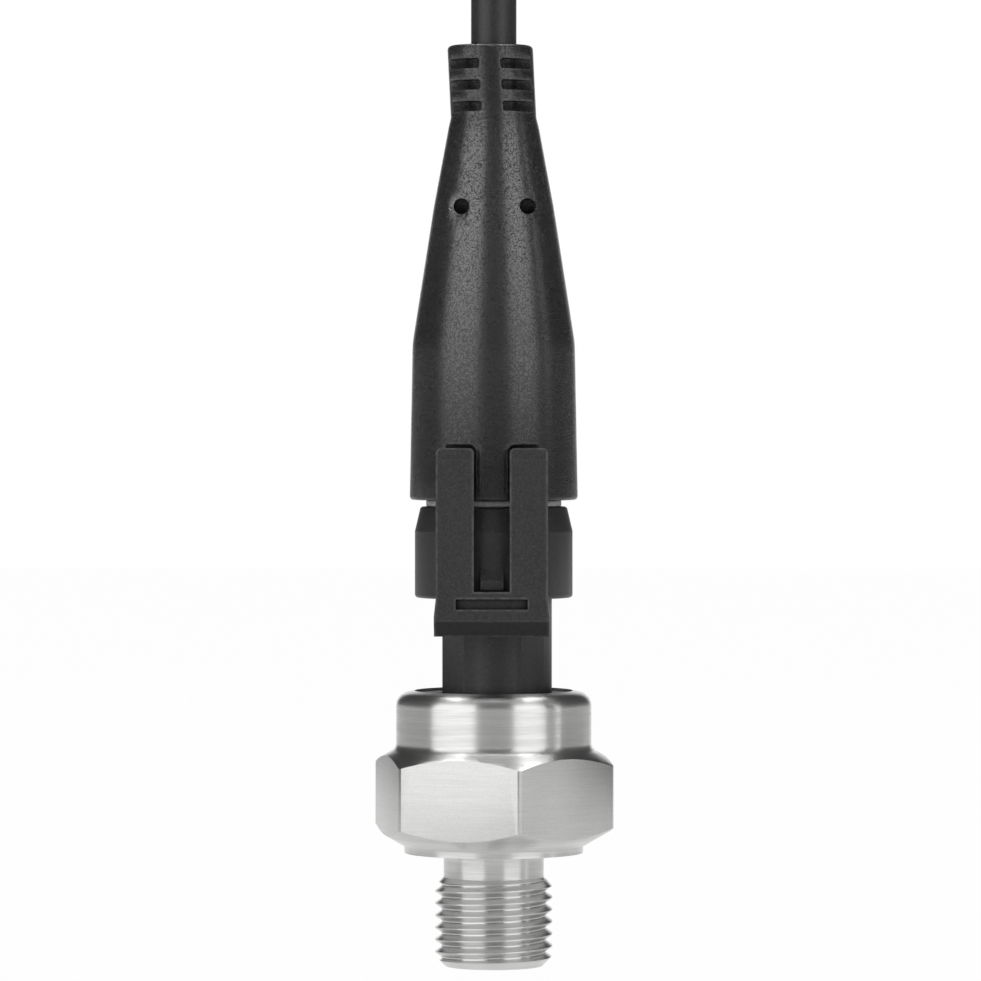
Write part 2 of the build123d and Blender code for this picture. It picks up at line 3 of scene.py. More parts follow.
import bpy
from bpy.props import FloatProperty, FloatVectorProperty, PointerProperty
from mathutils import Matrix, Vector


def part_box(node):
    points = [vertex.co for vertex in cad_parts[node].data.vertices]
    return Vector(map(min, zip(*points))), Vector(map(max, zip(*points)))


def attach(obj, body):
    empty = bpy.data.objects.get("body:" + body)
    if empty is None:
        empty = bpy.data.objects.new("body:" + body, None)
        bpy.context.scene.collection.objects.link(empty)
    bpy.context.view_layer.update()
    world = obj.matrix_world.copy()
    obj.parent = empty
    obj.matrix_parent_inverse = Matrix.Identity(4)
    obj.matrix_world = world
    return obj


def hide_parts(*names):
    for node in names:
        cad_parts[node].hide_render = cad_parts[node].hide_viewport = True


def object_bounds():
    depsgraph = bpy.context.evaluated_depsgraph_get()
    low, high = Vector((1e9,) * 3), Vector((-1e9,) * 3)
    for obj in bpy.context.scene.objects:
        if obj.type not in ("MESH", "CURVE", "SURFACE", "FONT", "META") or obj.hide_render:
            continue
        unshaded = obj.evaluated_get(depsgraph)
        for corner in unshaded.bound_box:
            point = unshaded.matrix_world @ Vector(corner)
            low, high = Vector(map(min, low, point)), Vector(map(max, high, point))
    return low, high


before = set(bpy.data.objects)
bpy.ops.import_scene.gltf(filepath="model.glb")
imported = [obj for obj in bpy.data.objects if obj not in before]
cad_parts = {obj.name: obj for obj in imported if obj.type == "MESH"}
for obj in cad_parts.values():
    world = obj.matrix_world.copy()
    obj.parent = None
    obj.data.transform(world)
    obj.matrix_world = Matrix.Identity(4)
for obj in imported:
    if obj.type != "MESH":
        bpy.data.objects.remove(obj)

CAD_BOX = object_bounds()

bl_info = {
    "name": "Pressure Transmitter",
    "version": (1, 0, 0),
    "blender": (4, 5, 0),
    "location": "3D View > Sidebar > Transmitter",
    "description": "Dresses a pressure transmitter with its plug-in cable",
    "category": "Object",
}

MM = 0.001

# Where the photographer stood: the axis, in millimetres, and the lens.
EYE_DISTANCE = 633.0
EYE_HEIGHT = 49.8
EYE_TURN = 1.2
LOOK_HEIGHT = 39.86
LENS = 211.0
SENSOR_WIDTH = 36.0
AXIS_SHIFT = -0.0033

# The softboxes: name, degrees from the camera's axis, then height, width, tallness and distance in metres.
# Those at the sides end with their share of the lamp level.
SIDE_LAMPS = [
    ("left_softbox", -48.0, 0.06, 0.53, 0.8, 0.5, 1.0),
    ("right_softbox", 45.0, 0.06, 0.36, 0.8, 0.5, 0.95),
    ("strip_softbox", 83.0, 0.06, 0.045, 0.8, 0.5, 0.9),
]
TOP_LAMP = ("top_softbox", 180.0, 0.75, 0.7, 0.5, 0.12)
LAMPS_AIM = (0, 0, 0.04)

# The floor's width in metres, its gap under the part, and how white a mirror sees it.
FLOOR_SIZE = 3.0
FLOOR_DROP = 0.0001
FLOOR_MIRRORED = 0.88

# What a mirrored direction sees, by its depth: the room gets dim towards the camera, the backdrop is white.
ROOM_DIMS = (-0.9, -0.3)
ROOM_DIM_SHARE = 0.4
BACKDROP = (0.90, 0.99)

# The cable's exit and length in metres, then, in millimetres of y and z, its route from inside the strain
# relief and the hank that it is put away in, whose folds are each a middle and a radius.
ROUTE = [
    (0, 76.0), (0, 103.0), (0.8, 128.5), (20.8, 148.5),
    (50.0, 147.0), (71.0, 127.0),
]
LOW_FOLDS = [(46.0, 15.0, 25.0), (46.0, 15.0, 20.0), (46.0, 15.0, 15.0)]
HIGH_FOLDS = [(43.5, 99.0, 22.5), (43.5, 99.0, 17.5)]
JACKET_END = (31.0, 62.0)
HANK_HALF = 42.0
FOLD_POINTS = 6

# The ties, in millimetres: the band's rounded edge, how far its face stands off the cable, then each block's
# distance from that face, its size and its rounded edge.
TIE_EDGE = 0.2
TIE_FACE = 0.9
TIE_HEAD = (1.0, (2.6, 4.6, 5.2), 0.4)
TIE_TAIL = (2.6, (3.4, 1.2, 3.4), 0.2)

LEAD_COLOURS = {"red": (0.5, 0.02, 0.015), "black": (0.012, 0.012, 0.012), "green": (0.02, 0.16, 0.05)}

# The thread, in millimetres and shares of its pitch: the groove's height on the +X side under the sealing
# flange, the turns that are cut, the crest's radius, the groove's half widths at crest and root, how far the
# cutter stands out over the crest and in under the root, and its steps round a turn.
THREAD_GROOVE_Z = -2.92
THREAD_TURNS = 9
THREAD_CREST = 6.46
GROOVE_HALF = 0.455
GROOVE_FLAT = 0.08
CUTTER_OVER = 0.05
CUTTER_HEEL = 0.03
CUTTER_STEPS = 80

# In metres: how near vertices are welded, how near two places or two radii count as one, how long an edge is
# that counts as long, and how far a finished piece's box may be from its node's.
WELD = 2e-6
SAME_PLACE = 1e-5
SAME_RADIUS = 2e-5
LONG_EDGE = 1e-3
BOX_SLACK = 0.0008

# Radii and heights, in millimetres, that tell the steel body's edges apart.
CORNER_RADIUS = 13.0
HEXAGON_RADIUS = 11.6
STEM_TOP = -0.4
HEXAGON_FOOT = 0.3

# The steel's finish: how many turned lines a metre has, how long and how deep they are in metres, the share
# of their depth on the milled faces, the speckle's scale there, and shares of the colour. The last two are
# radii, in metres, between which the turned finish gives way to the milled one, and its lines get shallow.
TURNED_LINES = 11000.0
LINE_LENGTH = 0.02
LINE_DEPTH = 0.0000045
MILLED_SHARE = 0.12
SPECKLE = 5200.0
TURNED_DARK = 0.88
MILLED_DARK = 0.78
MILLED_LIGHT = 0.90
MILLED_COLOUR = (0.0112, 0.0118)
MILLED_DEPTH = (0.0112, 0.0117)

# Mouldings: how much lighter dust is and how much lighter the edges are, by rubbing and a painted highlight,
# the colour's share deep in a hollow, a painted shade, and how much rougher it is there, how far the sheen
# strays, and the slopes at which a face begins to look down and to take painted shade.
DUST = 0.08
EDGE_WEAR_AND_HIGHLIGHT = 0.07
HOLLOW_PAINTED_SHADE = 0.25
HOLLOW_ROUGH = 0.4
SHEEN_STRAYS = 0.04
LOOKS_DOWN = (-0.42, -0.2)

# Degrees to which the steel's and the boot's faces are merged, few because their reflections are long.
NEARLY_FLAT = 0.05

# Small corrections to the boot, in millimetres: its core-pin holes, its slots and the lean of its top.
HOLE_X = 3.62
HOLE_Z = 71.2
HOLE_REACH = 1.0
HOLE_FRONT = -2.0
HOLE_ASIDE = 0.2
HOLE_DROP = 0.24
SLOTS_FROM = 80.5
SLOTS_DROP = 0.33
SLOT_EDGES_FROM = 80.0
SLOT_EDGE = 0.26
LEAN_FROM = 88.0
LEAN_REACH = 8.5
LEAN = 0.38

# Heights, in metres, between which the boot's grain rises and its clear skin appears and goes.
GRAIN_RISE = (0.057, 0.073)
SKIN_RISE = (0.036, 0.072)
SKIN_FALL = (0.077, 0.083)


# Small helpers for objects and meshes

def settings():
    """The values in the sidebar."""
    return bpy.context.scene.transmitter


def only(obj):
    """Selects this object alone and makes it the active one."""
    bpy.ops.object.select_all(action="DESELECT")
    obj.select_set(True)
    bpy.context.view_layer.objects.active = obj


def adopt(name):
    """Names the object that an operator has just added."""
    obj = bpy.context.view_layer.objects.active
    obj.name = name
    obj.data.name = name
    return obj


def settle(obj):
    """Puts the object's place into its mesh, as a CAD node's is."""
    only(obj)
    bpy.ops.object.transform_apply(location=True, rotation=True, scale=True)


def pick_sharp(obj, degrees, test):
    """Enters edit mode with the sharp edges selected whose two ends pass the test."""
    only(obj)
    bpy.ops.object.mode_set(mode="EDIT")
    bpy.ops.mesh.select_mode(type="EDGE")
    bpy.ops.mesh.select_all(action="DESELECT")
    bpy.ops.mesh.edges_select_sharp(sharpness=math.radians(degrees))
    bpy.ops.object.mode_set(mode="OBJECT")
    data = obj.data
    for edge in data.edges:
        first, second = [data.vertices[index].co for index in edge.vertices]
        edge.select = edge.select and test(first, second)
    for face in data.polygons:
        face.select = False
    kept = {index for edge in data.edges if edge.select for index in edge.vertices}
    for vertex in data.vertices:
        vertex.select = vertex.index in kept
    bpy.ops.object.mode_set(mode="EDIT")
    return len(kept)


def whole(obj):
    """Enters edit mode with everything selected."""
    only(obj)
    bpy.ops.object.mode_set(mode="EDIT")
    bpy.ops.mesh.select_mode(type="VERT")
    bpy.ops.mesh.select_all(action="SELECT")


def done():
    """Leaves edit mode."""
    bpy.ops.object.mode_set(mode="OBJECT")


def finish_with(obj, kind, **values):
    """Adds a modifier with these values and applies it."""
    only(obj)
    modifier = obj.modifiers.new(kind.lower(), kind)
    for key, value in values.items():
        setattr(modifier, key, value)
    bpy.ops.object.modifier_apply(modifier=modifier.name)


def smooth(obj, degrees=32.0):
    """Shades smoothly over edges that are less sharp than this."""
    only(obj)
    bpy.ops.object.shade_smooth_by_angle(angle=math.radians(degrees), keep_sharp_edges=False)


def copy_of(node, name, flat=0.6):
    """A copy of a CAD node with its triangles merged into faces that are flat to this many degrees."""
    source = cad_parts[node]
    mesh = source.data.copy()
    mesh.materials.clear()
    obj = bpy.data.objects.new(name, mesh)
    bpy.context.scene.collection.objects.link(obj)
    only(obj)
    bpy.ops.mesh.customdata_custom_splitnormals_clear()
    whole(obj)
    bpy.ops.mesh.remove_doubles(threshold=WELD)
    bpy.ops.mesh.dissolve_limited(angle_limit=math.radians(flat))
    done()
    return obj


def nudge(obj, step, test, fade=0.0):
    """Moves the vertices that pass the test, and with fade also those near them by less."""
    whole(obj)
    bpy.ops.mesh.select_all(action="DESELECT")
    done()
    for vertex in obj.data.vertices:
        vertex.select = test(vertex.co)
    bpy.ops.object.mode_set(mode="EDIT")
    if fade:
        bpy.ops.transform.translate(value=step, use_proportional_edit=True, proportional_size=fade,
                                    proportional_edit_falloff="SMOOTH")
    else:
        bpy.ops.transform.translate(value=step)
    done()


def ease(obj, width, degrees, test, segments=2):
    """Rounds only the sharp edges that pass the test."""
    if pick_sharp(obj, degrees, test):
        bpy.ops.mesh.bevel(offset=width, segments=segments, clamp_overlap=True, miter_outer="ARC")
    done()


def reach_of(point):
    """A point's distance from the axis."""
    return math.hypot(point.x, point.y)


def upright(first, second):
    """Whether an edge is long and runs along the axis."""
    aside = math.hypot(first.x - second.x, first.y - second.y)
    return aside < SAME_PLACE and abs(first.z - second.z) > LONG_EDGE


def level_ring(first, second):
    """Whether an edge is part of a circle round the axis."""
    return abs(first.z - second.z) < SAME_PLACE and abs(reach_of(first) - reach_of(second)) < SAME_RADIUS


def on_corner(first, second):
    """Whether an edge is one of the hexagon's six corners."""
    return upright(first, second) and reach_of(first) > CORNER_RADIUS * MM


def on_collar_or_flange(first, second):
    """Whether an edge is one of the rings above the stem."""
    return level_ring(first, second) and first.z > STEM_TOP * MM


def on_hexagon_curve(first, second):
    """Whether an edge is one of the curves where the hexagon's flats meet its chamfers."""
    if upright(first, second) or level_ring(first, second) or first.z <= HEXAGON_FOOT * MM:
        return False
    return min(reach_of(first), reach_of(second)) > HEXAGON_RADIUS * MM


def on_slot_end(first, second):
    """Whether an edge runs straight back at the end of one of the strain relief's slots."""
    straight = abs(first.x - second.x) < SAME_RADIUS and abs(first.z - second.z) < SAME_RADIUS
    return straight and first.z > SLOT_EDGES_FROM * MM


def round_edges(obj, width):
    """Rounds every sharp edge."""
    finish_with(obj, "BEVEL", width=width, segments=2, limit_method="ANGLE",
                angle_limit=math.radians(28.0), use_clamp_overlap=True, miter_outer="MITER_ARC")


def same_box(obj, node):
    """Stops the script if a finished piece has lost a part that its CAD node has."""
    made = [Vector(corner) for corner in obj.bound_box]
    meant = [Vector(corner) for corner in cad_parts[node].bound_box]
    for low, high in zip(made, meant):
        if (low - high).length > BOX_SLACK:
            raise RuntimeError(f"{obj.name} doesn't fill the box of {node}")


def dress(obj, material, body, slot, *nodes):
    """Gives a finished piece its material and its body, and hides the CAD nodes that it stands for. slot is
    not used.
    """
    obj.data.materials.clear()
    obj.data.materials.append(material)
    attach(obj, body)
    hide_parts(*nodes)


def dress_node(name, material):
    """A CAD node keeps its mesh and gets the material in its slots."""
    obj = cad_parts[name]
    if not obj.material_slots:
        obj.data.materials.append(material)
    for place in obj.material_slots:
        place.material = material


# Small helpers for shader trees

def feed(tree, made, inputs):
    """Sets a node's inputs. Each takes a number, a colour or another node's output."""
    for key, value in inputs.items():
        if isinstance(value, bpy.types.NodeSocket):
            tree.links.new(value, made.inputs[key])
        else:
            made.inputs[key].default_value = value
    return made


def put(tree, kind, inputs=None, **values):
    """Adds a shader node."""
    made = tree.nodes.new(kind)
    for key, value in values.items():
        setattr(made, key, value)
    return feed(tree, made, inputs or {})


def use(tree, group_tree, inputs):
    """Adds a node group."""
    made = tree.nodes.new("ShaderNodeGroup")
    made.node_tree = group_tree
    return feed(tree, made, inputs)


def maths(tree, operation, first, second=0.0):
    return put(tree, "ShaderNodeMath", {0: first, 1: second}, operation=operation).outputs[0]


def spread(tree, value, low, high, to_low=0.0, to_high=1.0):
    """Carries a value from one range to another, softly at both ends."""
    made = put(tree, "ShaderNodeMapRange",
               {"Value": value, "From Min": low, "From Max": high, "To Min": to_low, "To Max": to_high},
               interpolation_type="SMOOTHSTEP")
    return made.outputs["Result"]


def blend(tree, share, first, second):
    return put(tree, "ShaderNodeMix", {0: share, 2: first, 3: second}, data_type="FLOAT").outputs[0]


def blend_colour(tree, share, first, second):
    return put(tree, "ShaderNodeMix", {0: share, 6: first, 7: second}, data_type="RGBA").outputs[2]


def noise_of(tree, place, scale, detail, **inputs):
    """The value of a noise texture."""
    made = put(tree, "ShaderNodeTexNoise", {"Vector": place, "Scale": scale, "Detail": detail, **inputs})
    return made.outputs["Fac"]


def split(tree, vector):
    """A node that holds the vector's X, Y and Z."""
    return put(tree, "ShaderNodeSeparateXYZ", {"Vector": vector})


def across_axis(tree, parts):
    """From a place's X, Y and Z, the vector from the axis to the place, and its length."""
    flat = put(tree, "ShaderNodeCombineXYZ", {"X": parts.outputs["X"], "Y": parts.outputs["Y"]})
    vector = flat.outputs["Vector"]
    return vector, put(tree, "ShaderNodeVectorMath", {0: vector}, operation="LENGTH").outputs["Value"]


def tint(colour, share=1.0, lift=0.0):
    """A shader's colour from one of the sidebar's, made lighter or darker."""
    return tuple(min(1.0, part * share + lift) for part in colour) + (1.0,)


def group(name, inputs, outputs):
    """Starts a shader node group and returns it with its input and output nodes."""
    tree = bpy.data.node_groups.new(name, "ShaderNodeTree")
    for label, kind, default in inputs:
        socket = tree.interface.new_socket(name=label, in_out="INPUT", socket_type=kind)
        if default is not None:
            socket.default_value = default
    for label, kind in outputs:
        tree.interface.new_socket(name=label, in_out="OUTPUT", socket_type=kind)
    start = tree.nodes.new("NodeGroupInput")
    end = tree.nodes.new("NodeGroupOutput")
    return tree, start, end


def new_material(name, **sockets):
    """A material with one Principled shader, its constants set on the shader's own sockets."""
    material = bpy.data.materials.new(name)
    material.use_nodes = True
    tree = material.node_tree
    tree.nodes.clear()
    shader = tree.nodes.new("ShaderNodeBsdfPrincipled")
    out = tree.nodes.new("ShaderNodeOutputMaterial")
    tree.links.new(shader.outputs["BSDF"], out.inputs["Surface"])
    for key, value in sockets.items():
        shader.inputs[key.replace("_", " ")].default_value = value
    return material, tree, shader


def place_of(tree):
    return put(tree, "ShaderNodeTexCoord").outputs["Object"]


def bumped(tree, shader, height, distance, strength=1.0):
    made = put(tree, "ShaderNodeBump", {"Height": height, "Distance": distance, "Strength": strength})
    tree.links.new(made.outputs["Normal"], shader.inputs["Normal"])


def made_once(build):
    """Makes a node group the first time that it is asked for, and hands out the same one afterwards."""
    def fetch():
        return bpy.data.node_groups.get(build.__name__) or build()
    return fetch


# Shared effects

@made_once
def moulded_grain():
    """Leather-like grain of a moulded skin: worm-like creases with fine pores, as a height and a mask."""
    tree, start, end = group(
        "moulded_grain",
        [("Vector", "NodeSocketVector", None), ("Cell Scale", "NodeSocketFloat", 1500.0),
         ("Pore Scale", "NodeSocketFloat", 6000.0), ("Pore Share", "NodeSocketFloat", 0.4)],
        [("Height", "NodeSocketFloat"), ("Mask", "NodeSocketFloat")])
    vector = start.outputs["Vector"]
    waves = noise_of(tree, vector, start.outputs["Cell Scale"], 1.0, Roughness=0.4)
    from_middle = maths(tree, "ABSOLUTE", maths(tree, "SUBTRACT", waves, 0.5))
    pores = noise_of(tree, vector, start.outputs["Pore Scale"], 3.0, Roughness=0.6)
    cells = spread(tree, from_middle, 0.01, 0.11)
    tree.links.new(blend(tree, start.outputs["Pore Share"], cells, pores), end.inputs["Height"])
    tree.links.new(cells, end.inputs["Mask"])
    return tree


@made_once
def stray_specks():
    """Tiny bright specks scattered over a surface, each cell with one speck or none."""
    tree, start, end = group(
        "stray_specks",
        [("Vector", "NodeSocketVector", None), ("Scale", "NodeSocketFloat", 2200.0),
         ("Size", "NodeSocketFloat", 0.14), ("Share", "NodeSocketFloat", 0.35)],
        [("Mask", "NodeSocketFloat")])
    cells = put(tree, "ShaderNodeTexVoronoi",
                {"Vector": start.outputs["Vector"], "Scale": start.outputs["Scale"]})
    inside = maths(tree, "LESS_THAN", cells.outputs["Distance"], start.outputs["Size"])
    shade = put(tree, "ShaderNodeSeparateColor", {"Color": cells.outputs["Color"]})
    kept = maths(tree, "LESS_THAN", shade.outputs["Red"], start.outputs["Share"])
    both = maths(tree, "MULTIPLY", inside, kept)
    lit = maths(tree, "MULTIPLY", both, shade.outputs["Green"])
    tree.links.new(lit, end.inputs["Mask"])
    return tree


@made_once
def hollow():
    """How open a place of a piece is: 1 on its outside, towards 0 in its slots, holes and corners."""
    tree, start, end = group("hollow", [("Reach", "NodeSocketFloat", 0.0012)], [("Open", "NodeSocketFloat")])
    shade = put(tree, "ShaderNodeAmbientOcclusion", {"Distance": start.outputs["Reach"]}, samples=4,
                only_local=True)
    # The mouldings darken their colour by this, a painted shade in hollows and corners.
    tree.links.new(spread(tree, shade.outputs["AO"], 0.35, 0.95), end.inputs["Open"])
    return tree


@made_once
def edge_wear_and_highlight():
    """Narrow light lines on the outer edges of a moulding, broken up by noise: partly rubbing, partly a
    painted highlight.
    """
    tree, start, end = group(
        "edge_wear_and_highlight",
        [("Vector", "NodeSocketVector", None), ("Open", "NodeSocketFloat", 1.0),
         ("Width", "NodeSocketFloat", 0.0003), ("Amount", "NodeSocketFloat", 1.0)],
        [("Mask", "NodeSocketFloat")])
    inner = put(tree, "ShaderNodeAmbientOcclusion", {"Distance": start.outputs["Width"]}, samples=6,
                inside=True, only_local=True)
    edge = spread(tree, inner.outputs["AO"], 0.98, 0.87)
    noise = noise_of(tree, start.outputs["Vector"], 1400.0, 3.0)
    broken = spread(tree, noise, 0.35, 0.65, 0.35, 1.0)
    outer = maths(tree, "MULTIPLY", edge, start.outputs["Open"])
    worn_and_lit = maths(tree, "MULTIPLY", outer, broken)
    tree.links.new(maths(tree, "MULTIPLY", worn_and_lit, start.outputs["Amount"]), end.inputs["Mask"])
    return tree


@made_once
def turned_lines():
    """Tool marks round the axis: fine lines along Z on upright faces and rings on level ones."""
    tree, start, end = group(
        "turned_lines",
        [("Vector", "NodeSocketVector", None), ("Normal", "NodeSocketVector", None),
         ("Lines", "NodeSocketFloat", 9000.0), ("Length", "NodeSocketFloat", 0.03)],
        [("Height", "NodeSocketFloat"), ("Tone", "NodeSocketFloat")])
    place = split(tree, start.outputs["Vector"])
    facing = split(tree, start.outputs["Normal"])
    across, radius = across_axis(tree, place)
    level = maths(tree, "GREATER_THAN", maths(tree, "ABSOLUTE", facing.outputs["Z"]), 0.8)
    line = maths(tree, "ADD", place.outputs["Z"], maths(tree, "MULTIPLY", radius, level))
    along = put(tree, "ShaderNodeVectorMath", {0: across, "Scale": start.outputs["Length"]},
                operation="SCALE")
    parts = split(tree, along.outputs["Vector"])
    drawn = put(tree, "ShaderNodeCombineXYZ",
                {"X": parts.outputs["X"], "Y": parts.outputs["Y"], "Z": line}).outputs["Vector"]
    fine = noise_of(tree, drawn, start.outputs["Lines"], 2.0, Roughness=0.7)
    wide = noise_of(tree, drawn, maths(tree, "MULTIPLY", start.outputs["Lines"], 0.22), 2.0)
    tree.links.new(fine, end.inputs["Height"])
    tree.links.new(blend(tree, 0.3, fine, wide), end.inputs["Tone"])
    return tree


@made_once
def patchy():
    """Broad soft patches, where hands and handling have changed the sheen."""
    tree, start, end = group(
        "patchy",
        [("Vector", "NodeSocketVector", None), ("Scale", "NodeSocketFloat", 160.0),
         ("Low", "NodeSocketFloat", 0.35), ("High", "NodeSocketFloat", 0.5)],
        [("Value", "NodeSocketFloat")])
    noise = noise_of(tree, start.outputs["Vector"], start.outputs["Scale"], 4.0)
    made = put(tree, "ShaderNodeMapRange",
               {"Value": noise, "From Min": 0.3, "From Max": 0.7,
                "To Min": start.outputs["Low"], "To Max": start.outputs["High"]})
    tree.links.new(made.outputs["Result"], end.inputs["Value"])
    return tree


# Materials

def stainless_steel():
    """Turned round the axis and milled on the hexagon, where the lines are calmer and speckled."""
    name = "stainless_steel_turned"
    if name in bpy.data.materials:
        return bpy.data.materials[name]
    colour = settings().steel_colour
    material, tree, shader = new_material(name, Metallic=1.0, Anisotropic=0.9,
                                          Anisotropic_Rotation=0.25)
    place = place_of(tree)
    normal = put(tree, "ShaderNodeNewGeometry").outputs["Normal"]
    lines = use(tree, turned_lines(), {"Vector": place, "Normal": normal, "Lines": TURNED_LINES,
                                       "Length": LINE_LENGTH})
    tone = lines.outputs["Tone"]
    radius = across_axis(tree, split(tree, place))[1]
    milled = spread(tree, radius, *MILLED_COLOUR)
    turned = blend_colour(tree, spread(tree, tone, 0.35, 0.65), tint(colour, TURNED_DARK), tint(colour))
    speckle = noise_of(tree, place, SPECKLE, 4.0, Roughness=0.75)
    streaks = spread(tree, maths(tree, "MULTIPLY", maths(tree, "ADD", speckle, tone), 0.5), 0.4, 0.6)
    grey = blend_colour(tree, streaks, tint(colour, MILLED_DARK), tint(colour, MILLED_LIGHT))
    tree.links.new(blend_colour(tree, milled, turned, grey), shader.inputs["Base Color"])
    lined = spread(tree, tone, 0.3, 0.7, 0.36, 0.27)
    speckled = spread(tree, speckle, 0.3, 0.7, 0.30, 0.35)
    tree.links.new(blend(tree, milled, lined, speckled), shader.inputs["Roughness"])
    tangent = put(tree, "ShaderNodeTangent", direction_type="RADIAL", axis="Z")
    tree.links.new(tangent.outputs["Tangent"], shader.inputs["Tangent"])
    calm = spread(tree, radius, *MILLED_DEPTH, 1.0, MILLED_SHARE)
    bumped(tree, shader, lines.outputs["Height"], LINE_DEPTH, calm)
    return material


def moulding(name, colour, roughness, grain_scale, grain_depth, pore_share, speck_share, level=0.15,
             gloss=0.75, index=1.5, creased=1.0, wear_and_highlight=0.0, contrast=1.6, underside_shade=1.0, zones=None):
    """A moulded black or coloured skin with grain, specks, edges lightened by rubbing and a painted
    highlight, painted shade in hollows and on faces that look down, and a patchy sheen. level is the shine
    of the body, gloss and index are those of its clear skin, and creased is the share of that skin left in
    the creases of the grain. underside_shade is how light the faces are that look down, a painted shade that
    also thins the clear skin. wear_and_highlight is how light the edges get. zones gives, from the height,
    how much of the grain and of the clear skin is there."""
    if name in bpy.data.materials:
        return bpy.data.materials[name]
    material, tree, shader = new_material(name, Specular_IOR_Level=level, Coat_Roughness=roughness,
                                          Coat_IOR=index)
    place = place_of(tree)
    normal = put(tree, "ShaderNodeNewGeometry").outputs["Normal"]
    grain = use(tree, moulded_grain(), {"Vector": place, "Cell Scale": grain_scale,
                                        "Pore Scale": grain_scale * 3.0, "Pore Share": pore_share})
    specks = use(tree, stray_specks(), {"Vector": place, "Share": speck_share})
    sheen = use(tree, patchy(), {"Vector": place, "Low": roughness - SHEEN_STRAYS,
                                 "High": roughness + SHEEN_STRAYS})
    is_open = use(tree, hollow(), {}).outputs["Open"]
    edges = use(tree, edge_wear_and_highlight(), {"Vector": place, "Open": is_open, "Amount": wear_and_highlight})
    tone = blend_colour(tree, grain.outputs["Height"], tint(colour, 1.0 / contrast), tint(colour, contrast))
    dusted = blend_colour(tree, specks.outputs["Mask"], tone, tint(colour, lift=DUST))
    # Painted shade: the colour darkens, and the clear skin thins, in hollows and on faces that look down.
    facing = split(tree, normal).outputs["Z"]
    unshaded = maths(tree, "MULTIPLY", is_open, spread(tree, facing, *LOOKS_DOWN, underside_shade, 1.0))
    shaded = blend_colour(tree, unshaded, tint(colour, HOLLOW_PAINTED_SHADE), dusted)
    # The edges are lightened partly by rubbing and partly as a painted highlight.
    worn_and_lit = blend_colour(tree, edges.outputs["Mask"], shaded, tint(colour, lift=EDGE_WEAR_AND_HIGHLIGHT))
    tree.links.new(worn_and_lit, shader.inputs["Base Color"])
    rough = maths(tree, "ADD", sheen.outputs["Value"], spread(tree, is_open, 0.0, 1.0, HOLLOW_ROUGH, 0.0))
    skin = maths(tree, "MULTIPLY", unshaded, gloss)
    strength = 1.0
    if zones:
        strength, kept = zones(tree, split(tree, place).outputs["Z"])
        skin = maths(tree, "MULTIPLY", skin, kept)
    crease = maths(tree, "SUBTRACT", 1.0, maths(tree, "MULTIPLY", strength, 1.0 - creased))
    skin = maths(tree, "MULTIPLY", skin, spread(tree, grain.outputs["Mask"], 0.1, 0.6, crease, 1.0))
    tree.links.new(rough, shader.inputs["Roughness"])
    tree.links.new(skin, shader.inputs["Coat Weight"])
    bumped(tree, shader, grain.outputs["Height"], grain_depth, strength)
    return material


def socket_plastic():
    return moulding("socket_plastic_black", settings().socket_colour, roughness=0.5, grain_scale=3000.0,
                    grain_depth=0.000016, pore_share=0.5, speck_share=0.2, wear_and_highlight=0.4)


def lever_plastic():
    # The lever's faces that look down get a painted shade, and its edges get a painted highlight besides
    # rubbing.
    return moulding("lever_plastic_black", settings().lever_colour, roughness=0.48, grain_scale=3000.0,
                    grain_depth=0.000024, pore_share=0.5, speck_share=0.3, wear_and_highlight=1.0, contrast=2.0,
                    underside_shade=0.35)


def boot_zones(tree, height):
    """The boot's grain is deepest above its shoulder, and its clear skin fades towards both ends."""
    strength = spread(tree, height, *GRAIN_RISE, 0.7, 1.0)
    low = spread(tree, height, *SKIN_RISE)
    high = spread(tree, height, *SKIN_FALL, 1.0, 0.4)
    return strength, maths(tree, "MULTIPLY", low, high)


def boot_vinyl():
    return moulding("boot_vinyl_black", settings().boot_colour, roughness=0.27, grain_scale=3500.0,
                    grain_depth=0.000055, pore_share=0.2, speck_share=0.1, level=0.4, gloss=1.0, index=1.95,
                    creased=0.18, wear_and_highlight=0.7, contrast=2.2, zones=boot_zones)


def cable_jacket():
    return moulding("cable_jacket_black", settings().jacket_colour, roughness=0.42, grain_scale=2600.0,
                    grain_depth=0.000012, pore_share=0.5, speck_share=0.05)


def seal_silicone():
    return moulding("seal_silicone_grey", settings().seal_colour, roughness=0.55, grain_scale=4200.0,
                    grain_depth=0.000006, pore_share=0.6, speck_share=0.0)


def plain_mould(name, colour, roughness, metallic=0.0, scale=3000.0):
    """A simpler skin for the small inner pieces: soft mottling, fine pores and a patchy sheen."""
    if name in bpy.data.materials:
        return bpy.data.materials[name]
    material, tree, shader = new_material(name, Metallic=metallic)
    place = place_of(tree)
    noise = noise_of(tree, place, scale, 3.0)
    sheen = use(tree, patchy(), {"Vector": place, "Scale": 300.0, "Low": roughness - 0.06,
                                 "High": roughness + 0.06})
    mottled = blend_colour(tree, spread(tree, noise, 0.3, 0.7), tint(colour), tint(colour, 1.1, 0.01))
    tree.links.new(mottled, shader.inputs["Base Color"])
    tree.links.new(sheen.outputs["Value"], shader.inputs["Roughness"])
    bumped(tree, shader, noise, 0.000005)
    return material


# Stage

def seen_by_eye(tree):
    """The light path's node, and 1 where the camera looks, straight or through something clear."""
    path = put(tree, "ShaderNodeLightPath")
    return path, maths(tree, "MAXIMUM", path.outputs["Is Camera Ray"], path.outputs["Is Transmission Ray"])


